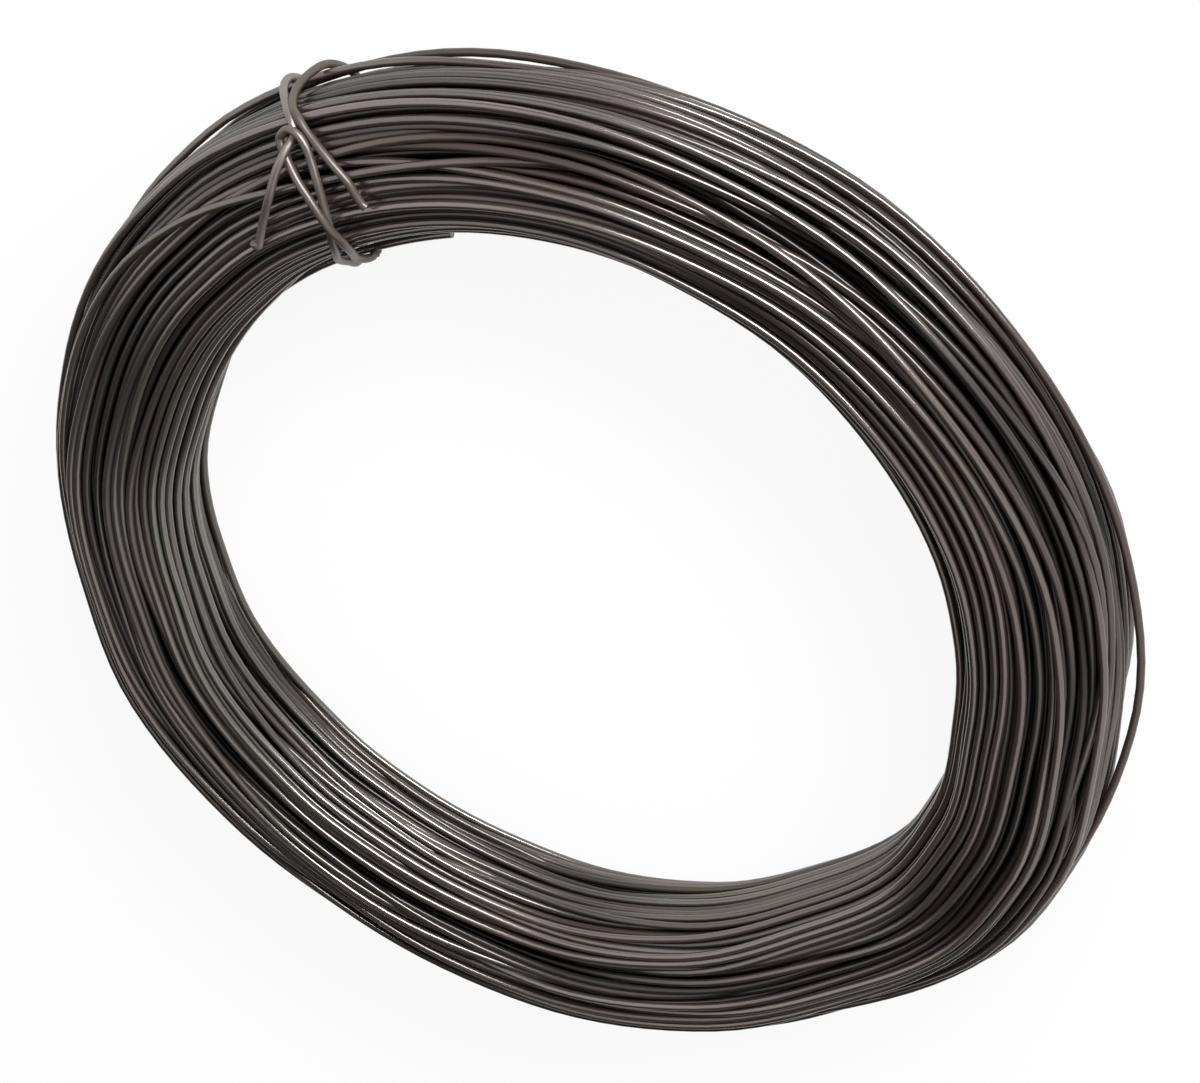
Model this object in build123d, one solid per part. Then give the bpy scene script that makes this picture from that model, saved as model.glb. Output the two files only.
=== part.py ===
from build123d import *
import math
import os

# Wire, in millimetres
wire_diameter = 1.6
tie_diameter = 1.6

# Bundle of turns, in millimetres
bore_diameter = 158.5
bundle_width = 31.5
bundle_height = 29.0
settled_depth = 0.2
turn_groove_depth = 0.7

# How full the bundle's section is: 2 is an ellipse, and more is squarer
section_fullness = 2.4

# Turns that show on each end, and the bends of the plain shoulders and walls
end_turns = 8
shoulder_share = 0.83
wall_height_share = 0.28

# Tie wire's seat and the waist it pulls in, in millimetres
seat_clearance = 0.3
crossing_clearance = 0.25
waist_length = 16.0
waist_ramp = 8.0
cut_overrun = 5.0

# Flat sides of the path that the tie wire takes round the bundle
wrap_sides = 8

# Bends of the tie wire, from its free end on the left to its free end on the right. Each has its place
# round the bundle, counted in corners of the path from the upper outer one on, its place along the
# bundle as a share of the tie's diameter, and how far it stands off as a share of a crossing.
left_end_shares = ((1.62, 8.3, 0), (1.3, 5.0, 0), (0.88, -0.3, 1.25), (0.55, -2.0, 0))
left_leg_shares = ((0, -0.3, 0.6), (-1, 3.2, 0.6), (-2, 3.0, 0), (-3, 2.5, 0), (-4, 1.9, 0), (-5, 0.7, 0))
hook_shares = ((2, -0.8, 0), (1, -3.25, 0.1), (0.62, -2.9, 1.5), (0.58, -0.6, 1.35), (0.6, 0.5, 0.1))
crossing_shares = ((1, -0.9, 0), (1.28, -1.4, 1), (1.85, -2.4, 1), (2.05, -2.6, 0.4))
right_leg_shares = ((3, -2.7, 0), (4, -2.5, 0), (5, -2.0, 0), (6, -1.8, 0), (7, -2.4, 0.6), (8, -1.9, 0.8))
right_end_shares = ((0.5, -3.9, 0.3), (1, -5.6, 0), (1.7, -6.6, 0))

# Worked out from the sizes above
middle_radius = bore_diameter / 2 + bundle_width / 2
middle_height = bundle_height / 2 - settled_depth
tie_squeeze = tie_diameter + 2 * seat_clearance
crossing_rise = tie_diameter + crossing_clearance
side_angle = 2 * math.pi / wrap_sides


def half_height_at(across):
    """Half height of the bundle at a distance across from its middle."""
    out_share = abs(across) / (bundle_width / 2)
    return bundle_height / 2 * (1 - out_share**section_fullness) ** (1 / section_fullness)


def end_turn_points():
    """Crests and valleys of the turns on the upper end, from the outside to the bore."""
    points = []
    for step in range(2 * end_turns + 1):
        across = (end_turns - step) * wire_diameter / 2
        depth = 0 if step % 2 else turn_groove_depth
        points.append((across, half_height_at(across) - depth))
    return points


def shoulder_points():
    """Bends of the plain upper shoulder, from the wall to the end."""
    wall = (bundle_width / 2, wall_height_share * bundle_height / 2)
    across = shoulder_share * bundle_width / 2
    return [wall, (across, half_height_at(across))]


def bundle_section():
    """Half section of the coil, with its end turns and the lands it lies on."""
    outer_shoulder = shoulder_points()
    bore_shoulder = [(-across, up) for across, up in outer_shoulder[::-1]]
    upper = outer_shoulder + end_turn_points() + bore_shoulder
    lower = [(across, -up) for across, up in upper[::-1]]
    outline = make_face(Polyline(*upper, *lower, close=True))
    placed = Pos(middle_radius, middle_height) * outline
    floor_strip = Pos(middle_radius, -bundle_height / 2) * Rectangle(2 * bundle_width, bundle_height)
    return placed - floor_strip


def wrap_distance(angle, gap):
    """Distance of a flat side of the tie's path from the squeezed bundle's middle."""
    power = section_fullness / (section_fullness - 1)
    wide = (bundle_width - tie_squeeze) / 2 * abs(math.cos(angle))
    tall = (bundle_height - settled_depth - tie_squeeze) / 2 * abs(math.sin(angle))
    return (wide**power + tall**power) ** (1 / power) + gap


def wrap_corner(number, gap):
    """Corner of the tie's path between two flat sides, as a radius and a height."""
    first = number * side_angle
    second = first + side_angle
    near = wrap_distance(first, gap)
    far = wrap_distance(second, gap)
    across = (near * math.sin(second) - far * math.sin(first)) / math.sin(side_angle)
    up = (far * math.cos(first) - near * math.cos(second)) / math.sin(side_angle)
    middle_up = (bundle_height - settled_depth + tie_squeeze) / 2
    return (middle_radius - tie_squeeze / 2 + across, middle_up + up)


def tie_bend(corner_share, along_share, rise_share):
    """Bend of the tie at a place round the bundle, along it and off it."""
    gap = seat_clearance + tie_diameter / 2 + rise_share * crossing_rise
    corner = math.floor(corner_share)
    past_share = corner_share - corner
    radius, up = wrap_corner(corner, gap)
    next_radius, next_up = wrap_corner(corner + 1, gap)
    return Vector(
        radius + past_share * (next_radius - radius),
        along_share * tie_diameter,
        up + past_share * (next_up - up),
    )


def waist_outline(along, gap):
    """Outline that the tie squeezes the bundle to, at a place along the coil."""
    corners = [wrap_corner(number, gap) for number in range(wrap_sides)]
    return make_face(Polyline(*[(radius, along, up) for radius, up in corners], close=True))


def wire_coil():
    """Coil as one turned solid, with the waist that the tie wire pulls into it."""
    coil = revolve(Plane.XZ * bundle_section(), Axis.Z)
    flat_end = waist_length / 2
    ramp_end = flat_end + waist_ramp
    places = ((-ramp_end, tie_squeeze), (-flat_end, 0), (flat_end, 0), (ramp_end, tie_squeeze))
    kept = loft([waist_outline(along, gap) for along, gap in places], ruled=True)
    block = Box(bundle_width + 2 * cut_overrun, 2 * ramp_end, bundle_height + 2 * cut_overrun)
    return coil - (Pos(middle_radius, 0, middle_height) * block - kept)


def tie_route():
    """Bends of the tie wire in order."""
    left_shares = left_end_shares + left_leg_shares + hook_shares
    right_shares = crossing_shares + right_leg_shares + right_end_shares
    return [tie_bend(*bend_shares) for bend_shares in left_shares + right_shares]


def tie_wire():
    """Tie wire, as one round rod bent at each point of its route."""
    path = Polyline(*tie_route())
    end = Plane(origin=path @ 0, z_dir=path % 0) * Circle(tie_diameter / 2)
    return sweep(end, path=path, transition=Transition.RIGHT)


os.makedirs("parts", exist_ok=True)
export_step(wire_coil(), "parts/wire_coil.step")
export_step(tie_wire(), "parts/tie_wire.step")
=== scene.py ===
import bpy
import math
import numpy as np
from mathutils import Matrix, Vector


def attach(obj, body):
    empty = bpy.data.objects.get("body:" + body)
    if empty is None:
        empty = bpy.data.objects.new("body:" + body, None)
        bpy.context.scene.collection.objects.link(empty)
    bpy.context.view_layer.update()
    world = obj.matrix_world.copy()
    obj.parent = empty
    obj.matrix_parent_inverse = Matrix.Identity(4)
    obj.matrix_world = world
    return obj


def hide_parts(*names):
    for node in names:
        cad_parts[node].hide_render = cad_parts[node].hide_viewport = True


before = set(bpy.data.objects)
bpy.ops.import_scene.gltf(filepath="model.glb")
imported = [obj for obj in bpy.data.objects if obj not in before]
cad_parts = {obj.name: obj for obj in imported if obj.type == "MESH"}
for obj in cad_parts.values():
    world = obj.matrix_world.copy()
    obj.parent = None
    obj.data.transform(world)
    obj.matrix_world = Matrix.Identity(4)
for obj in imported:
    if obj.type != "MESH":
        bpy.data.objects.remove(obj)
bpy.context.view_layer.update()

# Sizes in metres
MM = 0.001
WIRE_DIAMETER = 1.6 * MM
TIE_DIAMETER = 1.6 * MM
MIDDLE_RADIUS = 95.0 * MM
BUNDLE_WIDTH = 31.5 * MM
BUNDLE_HEIGHT = 28.8 * MM

# The section that the wire's centres fill: how full it is, 2 for an ellipse, and its half sizes
SECTION_FULLNESS = 2.4
CENTRES_HALF_WIDTH = (BUNDLE_WIDTH - WIRE_DIAMETER) / 2
CENTRES_HALF_HEIGHT = (BUNDLE_HEIGHT - WIRE_DIAMETER) / 2

# The bundle is thicker and thinner round the coil: degrees, share of the width, share of it moved outward
SWELL_SHARES = (
    (-170, 0.885, -0.02), (-150, 0.925, 0.062), (-138, 0.985, 0.04), (-120, 0.985, -0.032),
    (-108, 1.06, -0.025), (-95, 1.12, -0.01), (-75, 1.115, -0.018), (-58, 1.14, -0.006),
    (-46, 1.07, -0.016), (-30, 0.98, 0.0), (-8, 1.01, 0.015), (10, 1.04, 0.02), (22, 1.03, -0.002),
    (45, 1.03, -0.027), (62, 0.91, 0.014), (74, 0.915, 0.012), (90, 1.045, 0.065), (110, 1.05, 0.036),
    (125, 1.02, 0.01), (140, 1.1, 0.01), (155, 1.08, 0.03), (172, 0.965, 0.015))
WIDTH_COLUMN = 1
OUTWARD_COLUMN = 2

# Winding, layer by layer, with rows as close as round wires nest in each other
TURNS = 243
STATIONS = 128
FIRST_END_TURN = math.radians(-10.3)
WINDING_SEED = 7
FIRST_SPACING = 1.25 * WIRE_DIAMETER
SPACING_STEP_SHARE = 0.997
ROW_SHARE = math.sqrt(0.75)

# How the section turns about its own middle round the coil: radians, waves round the coil and their start
SWIRLS = ((0.05, 2, 1.1), (0.04, 3, 2.4))

# The turns at the surface stand off the core of the bundle: how far, from where on and how gently
SURFACE_SHARE = 1.1
SURFACE_START_SHARE = 0.8
SURFACE_RAMP_SHARE = 0.08

# How the wire wanders, with the turns from knot to knot of each wander; livelier stretches wander more
WANDER = 0.7 * MM
WANDER_TURNS = 0.2
LIVELY_WANDER = 2.4 * MM
LIVELY_WANDER_TURNS = 0.15
LIVELY_TURNS = 0.9
LIVELY_START = 0.4

# Room that a turn keeps from its neighbours here and there, most of it near the surface
SPARE_ROOM = 0.7 * MM
SPARE_TURNS = 0.4
SPARE_START = 0.2
SPARE_START_SHARE = 0.75
SPARE_RAMP_SHARE = 0.15
SPARE_INSIDE_SHARE = 0.2

# How far the bundle's outline rises and falls along the wire, as a share, and the limits of the wander
OUTLINE_SHARE = 0.06
OUTLINE_TURNS = 0.3
OUTLINE_START = 0.6
OUTLINE_LIMITS = (-2, 0.4)

# Settling of the crossing turns
SETTLE_ROUNDS = 260
ROUNDS_PER_SEARCH = 6
NEAR_DISTANCE = 1.75 * WIRE_DIAMETER
CONTACT_DISTANCE = 1.01 * WIRE_DIAMETER
LEAST_DISTANCE = 1e-9
PUSH_SHARE = 0.9
SLIDE_SHARE = 0.12
EASE_SHARE = 0.5
STIFFNESS_PASSES = 2
FINISH_PASSES = 8
# Painted shade: depth under the bundle's surface at which the wire's colour is fully darkened
PAINTED_SHADE_DEPTH = 2.8 * MM

# The wire's inner end stands off the bore: its radius and height, and how far it takes to join the bundle
INNER_END = (76.9 * MM, 14.0 * MM)
INNER_END_LENGTH = math.radians(40)

# Crevices placed at random in the bundle's surface: their number, greatest half width, depth and half length,
# the degrees along the coil that they lie between, and the ranges of their lengths, drifts and sizes
CREVICES = 26
CREVICE_HALF_WIDTH = 1.1 * MM
CREVICE_DEPTH = 3.0 * MM
CREVICE_HALF_LENGTH = 1.3
CREVICE_DEGREES = (75, 350)
CREVICE_LENGTH_SHARES = (0.3, 1)
CREVICE_DRIFTS = (-0.16, 0.16)
CREVICE_SIZE_SHARES = (0.5, 1)

# How gently a crevice ends along the coil and at its edges, and how near the surface turns give way to it.
# Hollows, which are wider than the widest crevice, push nothing aside.
CREVICE_END_RAMP = 0.3
CREVICE_EDGE_SHARE = 1.5
CREVICE_START_SHARE = 0.68
CREVICE_RAMP_SHARE = 0.2
WIDEST_CREVICE = 2 * WIRE_DIAMETER

# Crevices and hollows, listed one by one: degrees along the coil and round the section where each starts, the
# same where it ends, its half width and its depth in millimetres
HAND_CREVICES = (
    (-12, 59, -74, 57, 1.0, 2.8), (-50, -6, -95, -2, 1.1, 3.2), (-58, 94, -82, 98, 1.1, 3.2),
    (-74, 44, -92, 46, 1.0, 2.9), (-12, 93, -50, 99, 0.8, 2.3), (-20, 8, -48, 28, 1.1, 3.2),
    (73, 114, 167, 111, 1.4, 4.2), (122, 178, 148, 178, 0.8, 2.3),
    (-102, 5, -132, 5, 7.0, 1.0), (-136, 10, -166, 14, 6.0, 0.9), (-1, -24, -31, -30, 6.0, 2.3),
    (-2, -14, 26, -20, 7.0, 3.2))

# Single strands that stand out: degrees along the coil, radius and height in millimetres
FEATURE_STRANDS = (
    ((-100, 110.4, 11.0), (-109, 111.5, 12.0), (-116, 112.0, 13.0), (-123, 111.4, 14.0),
     (-132, 109.9, 15.0)),
    ((-136, 110.2, 12.0), (-144, 112.0, 13.5), (-151, 112.8, 15.0), (-158, 111.4, 16.5),
     (-166, 109.0, 17.5)),
    ((2, 97.5, 28.6), (8, 99.4, 28.5), (14, 101.4, 28.0), (20, 103.2, 27.2), (28, 104.4, 26.4),
     (38, 104.8, 26.1)),
    ((-4, 108.6, 6.6), (-12, 109.0, 5.2), (-20, 108.0, 4.9), (-28, 107.0, 5.4), (-38, 106.6, 6.0)),
    ((3, 109.9, 8.4), (9, 110.2, 8.0), (15, 110.2, 8.0), (23, 109.9, 8.4)),
)

# A turn is led along each of them: how gently it joins, how far it may leave the bundle, and how far away
# a turn that is already led counts as being
GUIDE_BLEND = math.radians(28)
FREE_REACH_SHARE = 0.3
FREE_ROOM = 3 * MM
TAKEN_DISTANCE = 20 * MM

# The tie pulls the bundle in near it, and lifts it off the floor; away from it the bundle has some room
OUTER_ROOM = 1.0 * MM
OUTER_SQUEEZE = 0.3 * MM
LOWER_SQUEEZE = 2.4 * MM
WAIST_HALF_LENGTH = 8.0 * MM
WAIST_RAMP = 10.0 * MM
BORE_LIMIT = 15.0 * MM

# The tie wire's route: degrees round the bundle's section from the outside on, millimetres along the coil,
# and how many wires it lies on. It runs from its left end round to the hook, and on to its right end.
TIE_ROUTE = (
    (101.5, 14.6, 0.3), (104, 14.8, 0.1), (105, 14.3, 0.0), (101, 13.2, 0.0), (94, 11.2, 0.0),
    (85, 8.4, 0.2), (76, 5.3, 0.6), (67, 2.7, 0.95), (61, 0.9, 1.0), (55, -0.5, 0.7), (50, -1.6, 0.15),
    (44, -2.6, 0.0), (36, -2.1, 0.1), (28, -0.8, 0.2), (17, 1.0, 0.35), (5, 3.0, 0.4), (-9, 4.8, 0.35),
    (-28, 6.2, 0.2), (-50, 6.8, 0.25), (-90, 7.2, 0.0), (-130, 7.6, 0.25), (-165, 7.8, 0.2),
    (-179, 7.8, 0.5), (-190, 7.2, 0.0), (-206, 6.0, 0.0), (-222, 3.0, 0.0), (-236, 0.7, 0.0),
    (-250, -1.6, 0.0), (-263, -3.0, 0.0), (-276, -4.1, 0.0), (-287, -4.6, 0.0), (-296, -4.8, 0.2),
    (-303, -4.9, 0.6), (-309, -4.5, 0.95), (-313, -3.5, 1.05), (-315, -2.1, 1.0), (-314.5, -0.7, 0.8),
    (-313, 0.4, 0.5), (-308, 0.7, 0.2), (-302, 0.5, 0.0), (-296, 0.1, 0.0), (-288, -0.5, 0.1),
    (-272, -1.7, 0.5), (-255, -2.3, 1.0), (-240, -2.2, 0.9), (-226, -0.8, 0.5), (-213, 1.2, 0.2),
    (-197, 3.6, 0.0), (-177, 4.0, 0.7), (-165, 4.0, 0.2), (-130, 2.0, 0.25), (-90, -1.0, 0.0),
    (-65, -2.6, 0.0), (-46, -3.2, 0.0), (-33, -2.8, 0.1), (-22, -2.0, 0.3), (-12, -1.2, 0.45),
    (0, -0.6, 0.5), (14, -0.8, 0.4), (29, -2.2, 0.2), (38, -3.9, 0.1), (47.5, -5.2, 0.0),
    (58, -6.9, 0.0), (69, -8.6, 0.0), (82, -10.2, 0.0), (93, -10.4, 0.0), (100, -10.6, 0.1),
    (103, -11.0, 0.1))
TIE_STEPS = 5
TIE_PASSES = 12

# How the tie finds the turns under it: those on its stretch of the coil, in directions a few degrees apart.
# Each place of the tie lies on the turns near it, and those further along the coil count less.
TIE_STRETCH = 20 * MM
FACING_DEGREES = 3
TIE_NEAR = 5 * MM
TIE_SLOPE = 0.08
LEAST_FACING = 0.3

# Drawn wires
WIRE_SIDES = 12
TIE_SIDES = 16
COIL_PIECES = 5

# Oxide: how often its colour changes in a metre of wire, its colours along the noise, where across the coil
# it turns browner and by how much, and the painted shade, near black, deep between the turns
HUES_PER_METRE = 2.2
OXIDE_STOPS = (
    (0.32, (0.036, 0.024, 0.022)), (0.42, (0.028, 0.026, 0.018)), (0.48, (0.042, 0.030, 0.027)),
    (0.54, (0.024, 0.023, 0.021)), (0.60, (0.036, 0.026, 0.024)), (0.70, (0.034, 0.028, 0.019)))
PLAIN_SIDE = 0.06
BROWN_SIDE = -0.08
BROWNER_TINT = (1.1, 0.95, 0.98, 1)
PAINTED_SHADE_COLOUR = (0.004, 0.003, 0.003, 1)

# Gloss of the oxide: how light and how rough it is on each wire, and how its sheen follows the noise
COIL_LIGHTER, COIL_ROUGHNESS = 0.8, 0.25
TIE_LIGHTER, TIE_ROUGHNESS = 1.15, 0.4
SHEEN_NOISE = (0.38, 0.62)
SHEEN_LEVELS = (0.25, 0.8)
# Painted shade: the sheen left deep between the turns
PAINTED_SHADE_SHEEN = 0.1
SHEEN_TINT = (1.0, 0.935, 0.885, 1)
OXIDE_IOR = 2.1

# Floor, and the share of plain white in what the camera and reflections see of it
FLOOR_HALF_SIZE = 3.0
FLOOR_COLOUR = (0.8, 0.8, 0.8, 1)
FLOOR_ROUGHNESS = 0.9
FLOOR_WHITE_SHARE = 0.9

# Lamps: name, degrees round the coil, degrees of rise, width, height and power
LAMPS = (
    ("front", -55, 24, 1.0, 0.3, 30.0), ("left", 37, 40, 1.6, 1.6, 8.0),
    ("right", -143, 40, 1.6, 1.6, 7.0))
LAMP_DISTANCE = 1.1
WORLD_COLOUR = (1, 1, 1, 1)
WORLD_STRENGTH = 0.02

# The camera of the photograph: its direction round the coil, its height and its roll
CAMERA_TURN = math.radians(-53.1)
CAMERA_RISE = math.radians(48.46)
CAMERA_ROLL = math.radians(147.19)
CAMERA_DISTANCE = 586.2 * MM
CAMERA_LENS = 88.98
CAMERA_SENSOR = 36.0
CAMERA_TARGET = (0.05 * MM, -0.92 * MM, 0.0)


def smooth_steps(share):
    """A share from 0 to 1 that leaves and arrives gently."""
    return share * share * (3 - 2 * share)


def gentle_rise(value, start, length):
    """0 up to the start and 1 from the end of the length on, with a gentle rise between."""
    return smooth_steps(np.clip((value - start) / length, 0, 1))


def gentle_fall(value, end, length):
    """1 until the length begins and 0 from the end on, with a gentle fall between."""
    return smooth_steps(np.clip((end - value) / length, 0, 1))


def wrapped(angle):
    """The same direction as the angle, within half a turn either way."""
    return (angle + math.pi) % (2 * math.pi) - math.pi


def ease_along(values, passes):
    """Draws each value toward the mean of its two neighbours, in place."""
    for _ in range(passes):
        values[1:-1] += EASE_SHARE * ((values[:-2] + values[2:]) / 2 - values[1:-1])


def wander(random, count, turns_per_knot):
    """Smooth random numbers along the wire, one for each station, with a knot each few parts of a turn."""
    knots = random.standard_normal(int(count / (STATIONS * turns_per_knot)) + 3)
    place = np.arange(count) / (STATIONS * turns_per_knot)
    first = place.astype(int)
    share = smooth_steps(place - first)
    return knots[first] * (1 - share) + knots[first + 1] * share


def station_angles():
    """Angle of each station round the coil, from the wire's inner end on."""
    return FIRST_END_TURN + 2 * math.pi * np.arange(STATIONS) / STATIONS


def round_the_coil(rows, column):
    """One column of a table of places round the coil, eased from place to place, for each station."""
    table = np.array(sorted(rows), dtype=float)
    table = np.vstack([table[-1], table, table[0]])
    table[0, 0] -= 360
    table[-1, 0] += 360
    degrees = (np.degrees(station_angles()) + 180) % 360 - 180
    place = np.clip(np.searchsorted(table[:, 0], degrees, side="right"), 1, len(table) - 1)
    share = (degrees - table[place - 1, 0]) / (table[place, 0] - table[place - 1, 0])
    eased = smooth_steps(share)
    return table[place - 1, column] * (1 - eased) + table[place, column] * eased


def outward_shift():
    """How far outward the bundle's middle lies at each point of the wire."""
    return np.tile(round_the_coil(SWELL_SHARES, OUTWARD_COLUMN) * BUNDLE_WIDTH, TURNS)


def half_height_at(across):
    """Half height of the section that the wire's centres fill, at a distance across from its middle."""
    inside = np.clip(1 - np.abs(across / CENTRES_HALF_WIDTH) ** SECTION_FULLNESS, 0, 1)
    return CENTRES_HALF_HEIGHT * inside ** (1 / SECTION_FULLNESS)


def section_reach(places, half_width):
    """How far out each place lies in the section: 1 is on the bundle's plain outline."""
    total = (np.abs(places[:, 0] / half_width) ** SECTION_FULLNESS
             + np.abs(places[:, 1] / CENTRES_HALF_HEIGHT) ** SECTION_FULLNESS)
    return total ** (1 / SECTION_FULLNESS)


def layer_places():
    """Places of the turns in the bundle's section, in winding order: layer by layer, up and down."""
    spacing = FIRST_SPACING
    places = []
    while len(places) < TURNS:
        places = []
        layers = int(2 * CENTRES_HALF_WIDTH / (spacing * ROW_SHARE)) + 1
        columns = np.linspace(-CENTRES_HALF_WIDTH, CENTRES_HALF_WIDTH, layers + 2)[1:-1]
        for layer, across in enumerate(columns):
            reach = half_height_at(across)
            count = max(1, round(2 * reach / spacing))
            column = (np.arange(count) - (count - 1) / 2) * (2 * reach / count)
            for up in column if layer % 2 == 0 else column[::-1]:
                places.append((across, up))
        spacing *= SPACING_STEP_SHARE
    return np.array(places[:TURNS])


def planned_places(turn):
    """Place in the section of each point of the wire, as it moves from each turn's place to the next."""
    corners = layer_places()
    corners = np.vstack([corners, corners[-1]])
    first = turn.astype(int)
    share = (turn - first)[:, None]
    return corners[first] * (1 - share) + corners[first + 1] * share


def section_swirl(angle):
    """How far the whole section has turned about its own middle at each angle round the coil."""
    return sum(size * np.sin(waves * angle + start) for size, waves, start in SWIRLS)


def swirled(places, swirl):
    """Places of the section, each turned about the section's middle."""
    across = places[:, 0] * np.cos(swirl) - places[:, 1] * np.sin(swirl)
    up = places[:, 0] * np.sin(swirl) + places[:, 1] * np.cos(swirl)
    return np.stack([across, up], 1)


def near_pairs(places):
    """Pairs of turns that pass near each other, station by station."""
    first, second = [], []
    upper = np.triu_indices(TURNS, 1)
    for station in range(STATIONS):
        here = places[station::STATIONS]
        gap = here[upper[0]] - here[upper[1]]
        near = (gap * gap).sum(1) < NEAR_DISTANCE * NEAR_DISTANCE
        first.append(upper[0][near] * STATIONS + station)
        second.append(upper[1][near] * STATIONS + station)
    return np.concatenate(first), np.concatenate(second)


def waist_share():
    """How much of the tie's squeeze each station takes."""
    away = np.abs(wrapped(station_angles())) * MIDDLE_RADIUS
    return gentle_fall(away, WAIST_HALF_LENGTH + WAIST_RAMP, WAIST_RAMP)


def hand_crevice(first, first_round, last, last_round, half_width, depth):
    """A listed crevice: middle and half length along the coil, place and drift round the section, half
    width and depth."""
    middle = math.radians((first + last) / 2)
    half_length = math.radians(abs(last - first) / 2)
    place = math.radians((first_round + last_round) / 2)
    drift = (last_round - first_round) / (last - first)
    return middle, half_length, place, drift, half_width * MM, depth * MM


def random_crevice(random):
    """A crevice at random, given in the same way."""
    middle = math.radians(random.uniform(*CREVICE_DEGREES))
    place = random.uniform(-math.pi, math.pi)
    half_length = CREVICE_HALF_LENGTH * random.uniform(*CREVICE_LENGTH_SHARES)
    drift = random.uniform(*CREVICE_DRIFTS)
    share = random.uniform(*CREVICE_SIZE_SHARES)
    return middle, half_length, place, drift, share * CREVICE_HALF_WIDTH, share * CREVICE_DEPTH


def surface_crevices(random):
    """Listed crevices and random ones."""
    by_hand = [hand_crevice(*row) for row in HAND_CREVICES]
    return by_hand + [random_crevice(random) for _ in range(CREVICES)]


def crevice_cuts(places, half_width, angle, crevices):
    """How deep the crevices cut into the bundle's surface at each place, and how far they push it aside."""
    across = places[:, 0] / half_width
    up = places[:, 1] / CENTRES_HALF_HEIGHT
    section_angle = np.arctan2(up, across) - section_swirl(angle)
    near_surface = gentle_rise(np.hypot(up, across), CREVICE_START_SHARE, CREVICE_RAMP_SHARE)
    depth = np.zeros(len(places))
    aside = np.zeros(len(places))
    for middle, half_length, place, drift, crevice_half_width, crevice_depth in crevices:
        along = wrapped(angle - middle)
        here = np.nonzero(np.abs(along) < half_length)[0]
        along = along[here]
        away = wrapped(section_angle[here] - place - drift * along)
        away *= BUNDLE_HEIGHT / 2
        ends = gentle_fall(np.abs(along), half_length, CREVICE_END_RAMP)
        bump = smooth_steps(np.clip(CREVICE_EDGE_SHARE - np.abs(away) / crevice_half_width, 0, 1))
        depth[here] = np.maximum(depth[here], crevice_depth * bump * ends)
        if crevice_half_width < WIDEST_CREVICE:
            short = np.clip(crevice_half_width + WIRE_DIAMETER / 2 - np.abs(away), 0, None)
            aside[here] += np.sign(away) * short * ends * near_surface[here]
    return depth, aside


def turn_to_lead(turn, miss, near):
    """The turn that runs nearest to a feature strand, of those that pass the whole of it."""
    counts = np.bincount(turn[near] + 1, minlength=TURNS + 2)
    totals = np.bincount(turn[near] + 1, miss[near], minlength=TURNS + 2)
    means = np.where(counts >= counts.max() - 1, totals / np.maximum(counts, 1), 1)
    return np.argmin(means) - 1


def feature_guides(places, angle):
    """How strongly each point of the wire is led to a feature strand or the inner end, and to what place."""
    lead = np.zeros(len(places))
    target = places.copy()
    shift = outward_shift()
    for strand in FEATURE_STRANDS:
        rows = np.array(sorted(strand), dtype=float)
        middle = math.radians(rows[:, 0].mean())
        away = wrapped(angle - middle)
        degrees = math.degrees(middle) + np.degrees(away)
        across = np.interp(degrees, rows[:, 0], rows[:, 1]) * MM - MIDDLE_RADIUS - shift
        up = np.interp(degrees, rows[:, 0], rows[:, 2]) * MM - BUNDLE_HEIGHT / 2
        half_length = math.radians(rows[-1, 0] - rows[0, 0]) / 2
        strength = gentle_fall(np.abs(away), half_length + GUIDE_BLEND, GUIDE_BLEND)
        turn = np.round((angle - middle) / (2 * math.pi)).astype(int)
        miss = (places[:, 0] - across) ** 2 + (places[:, 1] - up) ** 2 + (lead > 0) * TAKEN_DISTANCE ** 2
        best = turn_to_lead(turn, miss, np.abs(away) < half_length)
        led = (turn == best) & (strength > 0)
        lead[led] = strength[led]
        target[led, 0] = across[led]
        target[led, 1] = up[led]
    inner_end = smooth_steps(np.clip(1 - (angle - FIRST_END_TURN) / INNER_END_LENGTH, 0, 1))
    led = inner_end > 0
    lead[led] = inner_end[led]
    target[led, 0] = INNER_END[0] - MIDDLE_RADIUS - shift[led]
    target[led, 1] = INNER_END[1] - BUNDLE_HEIGHT / 2
    return lead[:, None], target


def bundle_limits(half_width, waist, free):
    """How near the bore, how far out and how low each point of the wire may lie."""
    bore = -half_width * (1 - waist) - BORE_LIMIT * waist - FREE_ROOM * free
    outer = half_width - OUTER_SQUEEZE * waist + (1 - waist) * OUTER_ROOM + FREE_ROOM * free
    lower = -CENTRES_HALF_HEIGHT + LOWER_SQUEEZE * waist
    return bore, outer, lower


def push_apart(places, first, second, contact):
    """Pushes the turns of each pair apart where they are nearer than their contact, in place."""
    gap = places[second] - places[first]
    distance = np.sqrt((gap * gap).sum(1)) + LEAST_DISTANCE
    push = gap * (np.clip(contact - distance, 0, None) / 2 / distance)[:, None]
    for axis in range(2):
        places[:, axis] += PUSH_SHARE * np.bincount(second, push[:, axis], len(places))
        places[:, axis] -= PUSH_SHARE * np.bincount(first, push[:, axis], len(places))


def hold_inside(places, half_width, surface, limits):
    """Draws what stands out of the bundle back toward it, in place."""
    bore, outer, lower = limits
    over = np.clip(section_reach(places, half_width) / surface, 1, None)
    places *= (1 - EASE_SHARE * (1 - 1 / over))[:, None]
    places[:, 0] += EASE_SHARE * (np.clip(places[:, 0], bore, outer) - places[:, 0])
    places[:, 1] += EASE_SHARE * (np.maximum(places[:, 1], lower) - places[:, 1])


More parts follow.
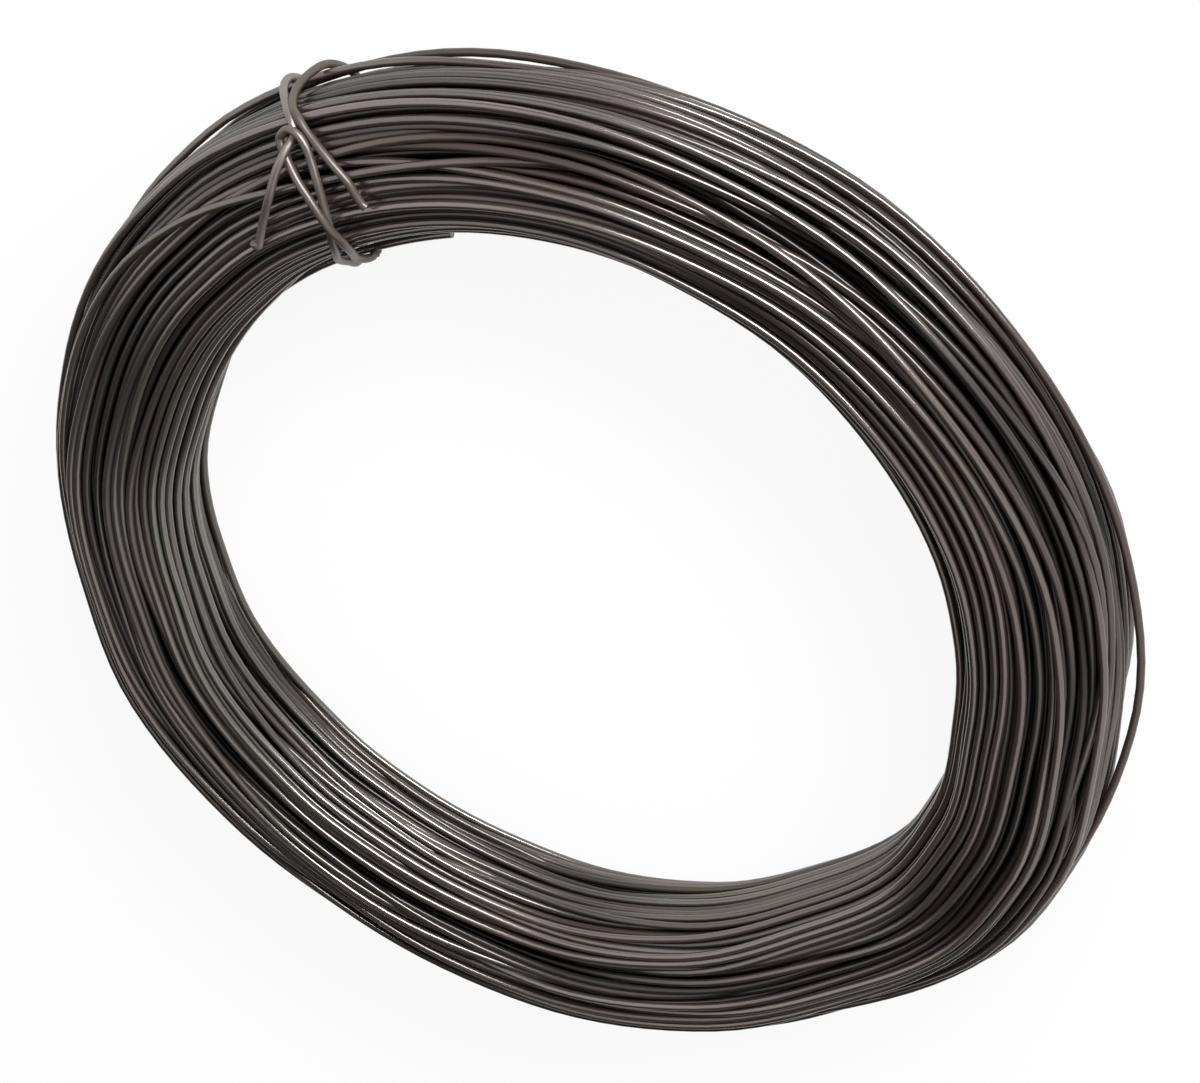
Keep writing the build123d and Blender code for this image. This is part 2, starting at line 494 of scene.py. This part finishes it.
def settle(places, spare, reach, angle, crevices):
    """Pushes crossing turns apart, keeps each turn smooth and holds all of them inside the bundle. Gives the
    places, and how deeply each lies under the bundle's surface, which sets the painted shade."""
    width_shares = round_the_coil(SWELL_SHARES, WIDTH_COLUMN)
    half_width = np.tile(width_shares * BUNDLE_WIDTH / 2 - WIRE_DIAMETER / 2, TURNS)
    waist = np.tile(waist_share(), TURNS)
    lead, target = feature_guides(places, angle)
    places = places + lead * (target - places)
    rest = places.copy()
    free = lead[:, 0]
    limits = bundle_limits(half_width, waist, free)
    for round_number in range(SETTLE_ROUNDS):
        if round_number % ROUNDS_PER_SEARCH == 0:
            depth, aside = crevice_cuts(places, half_width, angle, crevices)
            surface = reach - depth / CENTRES_HALF_HEIGHT + FREE_REACH_SHARE * free
            slide = SLIDE_SHARE * aside * (1 - waist) * (1 - free) / np.hypot(places[:, 0], places[:, 1])
            first, second = near_pairs(places)
            contact = CONTACT_DISTANCE + np.maximum(spare[first], spare[second])
        push_apart(places, first, second, contact)
        places += slide[:, None] * np.stack([-places[:, 1], places[:, 0]], 1)
        hold_inside(places, half_width, surface, limits)
        bent = places - rest
        ease_along(bent, STIFFNESS_PASSES)
        places = rest + bent
        places += EASE_SHARE * lead * (target - places)
    ease_along(places, FINISH_PASSES)
    places[:, 1] = np.maximum(places[:, 1], -CENTRES_HALF_HEIGHT)
    # How deep each point lies under the surface; deep turns get painted shade in their colour and sheen
    deep = (1 - section_reach(places, half_width)) * CENTRES_HALF_HEIGHT / PAINTED_SHADE_DEPTH
    return places, np.clip(deep, 0, 1)


def wound_wire():
    """Centre line of the whole wire, from its inner end to its outer end, and the painted shade of each
    point.
    """
    random = np.random.default_rng(WINDING_SEED)
    count = TURNS * STATIONS
    turn = np.arange(count) / STATIONS
    angle = FIRST_END_TURN + 2 * math.pi * turn
    places = swirled(planned_places(turn), section_swirl(angle))
    out = section_reach(places, CENTRES_HALF_WIDTH)
    at_surface = gentle_rise(out, SURFACE_START_SHARE, SURFACE_RAMP_SHARE)
    places *= (1 + (SURFACE_SHARE - 1) * at_surface)[:, None]
    lively = np.clip(wander(random, count, LIVELY_TURNS) - LIVELY_START, 0, None)
    for axis in range(2):
        places[:, axis] += WANDER * wander(random, count, WANDER_TURNS)
        places[:, axis] += LIVELY_WANDER * lively * wander(random, count, LIVELY_WANDER_TURNS)
    spare = SPARE_ROOM * np.clip(wander(random, count, SPARE_TURNS) - SPARE_START, 0, 1)
    spare *= np.clip((out - SPARE_START_SHARE) / SPARE_RAMP_SHARE, SPARE_INSIDE_SHARE, 1)
    reach = 1 + OUTLINE_SHARE * np.clip(wander(random, count, OUTLINE_TURNS) - OUTLINE_START, *OUTLINE_LIMITS)
    places, painted_shade = settle(places, spare, reach, angle, surface_crevices(random))
    radius = MIDDLE_RADIUS + outward_shift() + places[:, 0]
    height = BUNDLE_HEIGHT / 2 + places[:, 1]
    return np.stack([radius * np.cos(angle), radius * np.sin(angle), height], 1), painted_shade


def smooth_route(corners, per_run):
    """Points along a smooth curve through the corners."""
    corners = np.array(corners)
    ends = np.vstack([2 * corners[0] - corners[1], corners, 2 * corners[-1] - corners[-2]])
    points = []
    for before, here, there, after in zip(ends, ends[1:], ends[2:], ends[3:]):
        for share in np.arange(per_run) / per_run:
            points.append(0.5 * (2 * here + (there - before) * share
                                 + (2 * before - 5 * here + 4 * there - after) * share ** 2
                                 + (3 * here - before - 3 * there + after) * share ** 3))
    points.append(corners[-1])
    return np.array(points)


def tie_line(line):
    """Centre line of the tie wire, laid along its route snug on the turns that it binds."""
    radius = np.hypot(line[:, 0], line[:, 1])
    along = np.arctan2(line[:, 1], line[:, 0]) * radius
    near = np.abs(along) < TIE_STRETCH
    across = radius[near] - MIDDLE_RADIUS
    up = line[near, 2] - BUNDLE_HEIGHT / 2
    along = along[near]
    facing = np.radians(np.arange(0, 360, FACING_DEGREES))
    touching = (WIRE_DIAMETER + TIE_DIAMETER) / 2
    reach = np.outer(across, np.cos(facing)) + np.outer(up, np.sin(facing)) + touching
    degrees, place, wires_under = smooth_route(TIE_ROUTE, TIE_STEPS).T
    place *= MM
    out = wires_under * TIE_DIAMETER
    for number, outward in enumerate(np.radians(degrees)):
        apart = np.abs(along - place[number])
        wrap = (reach - TIE_SLOPE * apart[:, None])[apart < TIE_NEAR].max(0)
        toward = np.cos(facing - outward)
        faces = toward > LEAST_FACING
        out[number] += (wrap[faces] / toward[faces]).min()
    ease_along(out, TIE_PASSES)
    wrap_radius = MIDDLE_RADIUS + out * np.cos(np.radians(degrees))
    height = np.maximum(BUNDLE_HEIGHT / 2 + out * np.sin(np.radians(degrees)), TIE_DIAMETER / 2)
    return np.stack([np.sqrt(wrap_radius ** 2 - place ** 2), place, height], 1)


def runs_along(points):
    """Length of the wire up to each of its points."""
    steps = np.linalg.norm(np.diff(points, axis=0), axis=1)
    return np.concatenate([[0.0], np.cumsum(steps)])


def add_socket(tree, name, kind, way="INPUT"):
    """Adds a named input or output to a node tree."""
    tree.interface.new_socket(name, in_out=way, socket_type=kind)


def add_node(tree, kind, inputs=None, **settings):
    """Adds a node to a tree, makes its settings and gives the named inputs their plain values."""
    node = tree.nodes.new(kind)
    for name, value in settings.items():
        setattr(node, name, value)
    for name, value in (inputs or {}).items():
        node.inputs[name].default_value = value
    return node


def swept_wire(tree, given):
    """Nodes that sweep a circle along the path: the mesh, and each point's place on the circle."""
    link = tree.links.new
    curve = add_node(tree, "GeometryNodeMeshToCurve")
    link(given.outputs["Geometry"], curve.inputs["Mesh"])
    upright = add_node(tree, "GeometryNodeSetCurveNormal", mode="Z_UP")
    link(curve.outputs["Curve"], upright.inputs["Curve"])
    radius = add_node(tree, "ShaderNodeMath", {1: 0.5}, operation="MULTIPLY")
    link(given.outputs["Wire Diameter"], radius.inputs[0])
    profile = add_node(tree, "GeometryNodeCurvePrimitiveCircle")
    link(given.outputs["Sides"], profile.inputs["Resolution"])
    link(radius.outputs[0], profile.inputs["Radius"])
    place = add_node(tree, "GeometryNodeInputPosition")
    around = add_node(tree, "GeometryNodeCaptureAttribute")
    around.capture_items.new("VECTOR", "Around")
    link(profile.outputs["Curve"], around.inputs["Geometry"])
    link(place.outputs["Position"], around.inputs["Around"])
    sweep = add_node(tree, "GeometryNodeCurveToMesh", {"Fill Caps": True})
    link(upright.outputs["Curve"], sweep.inputs["Curve"])
    link(around.outputs["Geometry"], sweep.inputs["Profile Curve"])
    return sweep.outputs["Mesh"], around.outputs["Around"]


def skinned_wire(tree, mesh, around):
    """Nodes that store the skin coordinates: length along the wire, and place across it."""
    link = tree.links.new
    run = add_node(tree, "GeometryNodeInputNamedAttribute", {"Name": "wire_run"}, data_type="FLOAT")
    parts = add_node(tree, "ShaderNodeSeparateXYZ")
    link(around, parts.inputs["Vector"])
    skin = add_node(tree, "ShaderNodeCombineXYZ")
    link(run.outputs["Attribute"], skin.inputs["X"])
    link(parts.outputs["X"], skin.inputs["Y"])
    link(parts.outputs["Y"], skin.inputs["Z"])
    store = add_node(tree, "GeometryNodeStoreNamedAttribute", {"Name": "wire_skin"}, data_type="FLOAT_VECTOR")
    link(mesh, store.inputs["Geometry"])
    link(skin.outputs["Vector"], store.inputs["Value"])
    smooth = add_node(tree, "GeometryNodeSetShadeSmooth")
    link(store.outputs["Geometry"], smooth.inputs["Geometry"])
    return smooth.outputs["Geometry"]


def wire_tree():
    """Geometry Nodes that draw a round wire along an edge path, with its skin coordinates."""
    tree = bpy.data.node_groups.new("round_wire", "GeometryNodeTree")
    add_socket(tree, "Geometry", "NodeSocketGeometry")
    add_socket(tree, "Wire Diameter", "NodeSocketFloat")
    add_socket(tree, "Sides", "NodeSocketInt")
    add_socket(tree, "Material", "NodeSocketMaterial")
    add_socket(tree, "Geometry", "NodeSocketGeometry", "OUTPUT")
    link = tree.links.new
    given = add_node(tree, "NodeGroupInput")
    result = add_node(tree, "NodeGroupOutput")
    mesh, around = swept_wire(tree, given)
    real = add_node(tree, "GeometryNodeRealizeInstances")
    link(skinned_wire(tree, mesh, around), real.inputs["Geometry"])
    finish = add_node(tree, "GeometryNodeSetMaterial")
    link(real.outputs["Geometry"], finish.inputs["Geometry"])
    link(given.outputs["Material"], finish.inputs["Material"])
    link(finish.outputs["Geometry"], result.inputs["Geometry"])
    return tree


def drawn_wire(name, tree, points, runs, painted_shade, material, sides, diameter):
    """One mesh piece of round wire along the points, made by the tree."""
    path = bpy.data.meshes.new(name + "_path")
    edges = np.stack([np.arange(len(points) - 1), np.arange(1, len(points))], 1)
    path.from_pydata(points.tolist(), edges.tolist(), [])
    # Stores the run along the wire, and the painted shade between the turns, for the material
    for attribute, values in (("wire_run", runs), ("painted_shade", painted_shade)):
        stored = path.attributes.new(attribute, "FLOAT", "POINT")
        stored.data.foreach_set("value", values.astype(np.float32))
    holder = bpy.data.objects.new(name, path)
    bpy.context.scene.collection.objects.link(holder)
    modifier = holder.modifiers.new("wire", "NODES")
    modifier.node_group = tree
    given = {"Wire Diameter": diameter, "Sides": sides, "Material": material}
    for item in tree.interface.items_tree:
        if item.in_out == "INPUT" and item.name in given:
            modifier[item.identifier] = given[item.name]
    bpy.context.view_layer.update()
    shaped = holder.evaluated_get(bpy.context.evaluated_depsgraph_get())
    mesh = bpy.data.meshes.new_from_object(shaped)
    mesh.name = name
    holder.modifiers.remove(modifier)
    holder.data = mesh
    bpy.data.meshes.remove(path)
    return holder


def hue_noise(tree):
    """Slow noise along the wire, which its colour and sheen follow."""
    skin = add_node(tree, "ShaderNodeAttribute", attribute_name="wire_skin")
    stretch = add_node(tree, "ShaderNodeMapping", {"Scale": (HUES_PER_METRE, 0.0, 0.0)})
    tree.links.new(skin.outputs["Vector"], stretch.inputs["Vector"])
    noise = add_node(tree, "ShaderNodeTexNoise", {"Scale": 1.0, "Detail": 2.0})
    tree.links.new(stretch.outputs["Vector"], noise.inputs["Vector"])
    return noise


def mottled_colour(tree, hue, lighter):
    """Colour of the oxide, which changes along the wire."""
    ramp = add_node(tree, "ShaderNodeValToRGB")
    elements = ramp.color_ramp.elements
    while len(elements) < len(OXIDE_STOPS):
        elements.new(0.5)
    for element, (place, colour) in zip(elements, OXIDE_STOPS):
        element.position = place
        element.color = (*[lighter * share for share in colour], 1)
    tree.links.new(hue.outputs["Fac"], ramp.inputs["Fac"])
    return ramp.outputs["Color"]


def browner_colour(tree, colour):
    """The colour, browner toward one side of the coil."""
    link = tree.links.new
    place = add_node(tree, "ShaderNodeTexCoord")
    parts = add_node(tree, "ShaderNodeSeparateXYZ")
    link(place.outputs["Object"], parts.inputs["Vector"])
    side = add_node(tree, "ShaderNodeMapRange", {"From Min": PLAIN_SIDE, "From Max": BROWN_SIDE})
    link(parts.outputs["Y"], side.inputs["Value"])
    browner = add_node(tree, "ShaderNodeMix", {"B": BROWNER_TINT}, data_type="RGBA", blend_type="MULTIPLY")
    link(side.outputs["Result"], browner.inputs["Factor"])
    link(colour, browner.inputs["A"])
    return browner.outputs["Result"]


def painted_shade_colour(tree, depth, colour):
    """The colour, with painted shade: darker where the wire lies deep under other turns."""
    darker = add_node(tree, "ShaderNodeMix", {"B": PAINTED_SHADE_COLOUR}, data_type="RGBA")
    tree.links.new(depth.outputs["Fac"], darker.inputs["Factor"])
    tree.links.new(colour, darker.inputs["A"])
    return darker.outputs["Result"]


def sheen_with_painted_shade(tree, depth, hue):
    """Sheen that changes along the wire, with painted shade that dims it where the wire lies deep under other
    turns.
    """
    link = tree.links.new
    channels = add_node(tree, "ShaderNodeSeparateColor")
    link(hue.outputs["Color"], channels.inputs["Color"])
    noise_low, noise_high = SHEEN_NOISE
    level_low, level_high = SHEEN_LEVELS
    varied = add_node(tree, "ShaderNodeMapRange", {"From Min": noise_low, "From Max": noise_high,
                                                   "To Min": level_low, "To Max": level_high})
    link(channels.outputs["Green"], varied.inputs["Value"])
    sheen = add_node(tree, "ShaderNodeMapRange", {"To Max": PAINTED_SHADE_SHEEN})
    link(depth.outputs["Fac"], sheen.inputs["Value"])
    link(varied.outputs["Result"], sheen.inputs["To Min"])
    return sheen.outputs["Result"]


def oxide_material(name, lighter, roughness):
    """Dark oxide of annealed wire, mottled along its length and browner on one side of the coil, with painted
    shade in its colour and sheen deep between the turns.
    """
    material = bpy.data.materials.new(name)
    material.use_nodes = True
    tree = material.node_tree
    shader = tree.nodes["Principled BSDF"]
    hue = hue_noise(tree)
    # Painted shade: how deep the wire lies under other turns darkens its colour and dims its sheen
    depth = add_node(tree, "ShaderNodeAttribute", attribute_name="painted_shade")
    colour = browner_colour(tree, mottled_colour(tree, hue, lighter))
    tree.links.new(painted_shade_colour(tree, depth, colour), shader.inputs["Base Color"])
    tree.links.new(sheen_with_painted_shade(tree, depth, hue), shader.inputs["Specular IOR Level"])
    shader.inputs["Specular Tint"].default_value = SHEEN_TINT
    shader.inputs["Metallic"].default_value = 0.0
    shader.inputs["IOR"].default_value = OXIDE_IOR
    shader.inputs["Roughness"].default_value = roughness
    return material


def coil_pieces(tree, line, painted_shade):
    """The wound wire, in a few pieces so that none has too many triangles."""
    oxide = oxide_material("annealed_oxide", COIL_LIGHTER, COIL_ROUGHNESS)
    runs = runs_along(line)
    share = len(line) // COIL_PIECES
    for number in range(COIL_PIECES):
        first = number * share
        last = len(line) if number == COIL_PIECES - 1 else first + share + 1
        piece = drawn_wire(f"wire_turns_{number + 1}", tree, line[first:last], runs[first:last],
                           painted_shade[first:last], oxide, WIRE_SIDES, WIRE_DIAMETER)
        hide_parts("wire_coil")
        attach(piece, "root")


def tie_piece(tree, line):
    """The tie wire, bent round the coil."""
    oxide = oxide_material("tie_oxide", TIE_LIGHTER, TIE_ROUGHNESS)
    route = tie_line(line)
    # The tie takes no painted shade
    no_painted_shade = np.zeros(len(route))
    tie = drawn_wire("tie_wire_bent", tree, route, runs_along(route), no_painted_shade, oxide,
                     TIE_SIDES, TIE_DIAMETER)
    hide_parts("tie_wire")
    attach(tie, "root")


def floor_material():
    """Pale floor, brightened for the camera and for reflections, that keeps most of its shadow."""
    material = bpy.data.materials.new("floor_white")
    material.use_nodes = True
    tree = material.node_tree
    link = tree.links.new
    shader = tree.nodes["Principled BSDF"]
    shader.inputs["Base Color"].default_value = FLOOR_COLOUR
    shader.inputs["Roughness"].default_value = FLOOR_ROUGHNESS
    glow = add_node(tree, "ShaderNodeEmission")
    rays = add_node(tree, "ShaderNodeLightPath")
    seen = add_node(tree, "ShaderNodeMath", operation="MAXIMUM")
    link(rays.outputs["Is Camera Ray"], seen.inputs[0])
    link(rays.outputs["Is Glossy Ray"], seen.inputs[1])
    amount = add_node(tree, "ShaderNodeMath", {1: FLOOR_WHITE_SHARE}, operation="MULTIPLY")
    link(seen.outputs[0], amount.inputs[0])
    blend = add_node(tree, "ShaderNodeMixShader")
    link(amount.outputs[0], blend.inputs["Fac"])
    link(shader.outputs["BSDF"], blend.inputs[1])
    link(glow.outputs["Emission"], blend.inputs[2])
    link(blend.outputs["Shader"], tree.nodes["Material Output"].inputs["Surface"])
    return material


def floor_and_world():
    """Pale floor that reads white to the camera and keeps the coil's shadow, and a faint even light."""
    mesh = bpy.data.meshes.new("floor")
    half = FLOOR_HALF_SIZE
    corners = [(-half, -half, 0), (half, -half, 0), (half, half, 0), (-half, half, 0)]
    mesh.from_pydata(corners, [], [(0, 1, 2, 3)])
    floor = bpy.data.objects.new("floor", mesh)
    bpy.context.scene.collection.objects.link(floor)
    mesh.materials.append(floor_material())
    world = bpy.data.worlds.new("studio")
    world.use_nodes = True
    background = world.node_tree.nodes["Background"]
    background.inputs["Color"].default_value = WORLD_COLOUR
    background.inputs["Strength"].default_value = WORLD_STRENGTH
    bpy.context.scene.world = world
    bpy.context.scene.view_settings.view_transform = "Standard"


def direction(turn, rise):
    """Direction from the coil at an angle round it and an angle of rise."""
    return Vector((math.cos(turn) * math.cos(rise), math.sin(turn) * math.cos(rise), math.sin(rise)))


def studio_lamps():
    """Soft lamps that face the coil."""
    for name, turn, rise, width, height, power in LAMPS:
        data = bpy.data.lights.new(name, "AREA")
        data.shape = "RECTANGLE"
        data.size = width
        data.size_y = height
        data.energy = power
        lamp = bpy.data.objects.new(name, data)
        lamp.location = LAMP_DISTANCE * direction(math.radians(turn), math.radians(rise))
        lamp.rotation_euler = (-lamp.location).to_track_quat("-Z", "Y").to_euler()
        bpy.context.scene.collection.objects.link(lamp)


def photo_camera():
    """Camera at the photograph's viewing angle, with its roll."""
    away = direction(CAMERA_TURN, CAMERA_RISE)
    right = Vector((-math.sin(CAMERA_TURN), math.cos(CAMERA_TURN), 0))
    up = away.cross(right)
    rolled_right = math.cos(CAMERA_ROLL) * right - math.sin(CAMERA_ROLL) * up
    rolled_up = math.sin(CAMERA_ROLL) * right + math.cos(CAMERA_ROLL) * up
    data = bpy.data.cameras.new("camera")
    data.lens = CAMERA_LENS
    data.sensor_width = CAMERA_SENSOR
    camera = bpy.data.objects.new("camera", data)
    turn = Matrix((rolled_right, rolled_up, away)).transposed().to_4x4()
    camera.matrix_world = Matrix.Translation(Vector(CAMERA_TARGET) + away * CAMERA_DISTANCE) @ turn
    bpy.context.scene.collection.objects.link(camera)
    bpy.context.scene.camera = camera


def main():
    """The coil and its tie, on the floor of a small studio."""
    tree = wire_tree()
    line, painted_shade = wound_wire()
    coil_pieces(tree, line, painted_shade)
    tie_piece(tree, line)
    floor_and_world()
    studio_lamps()
    photo_camera()


main()
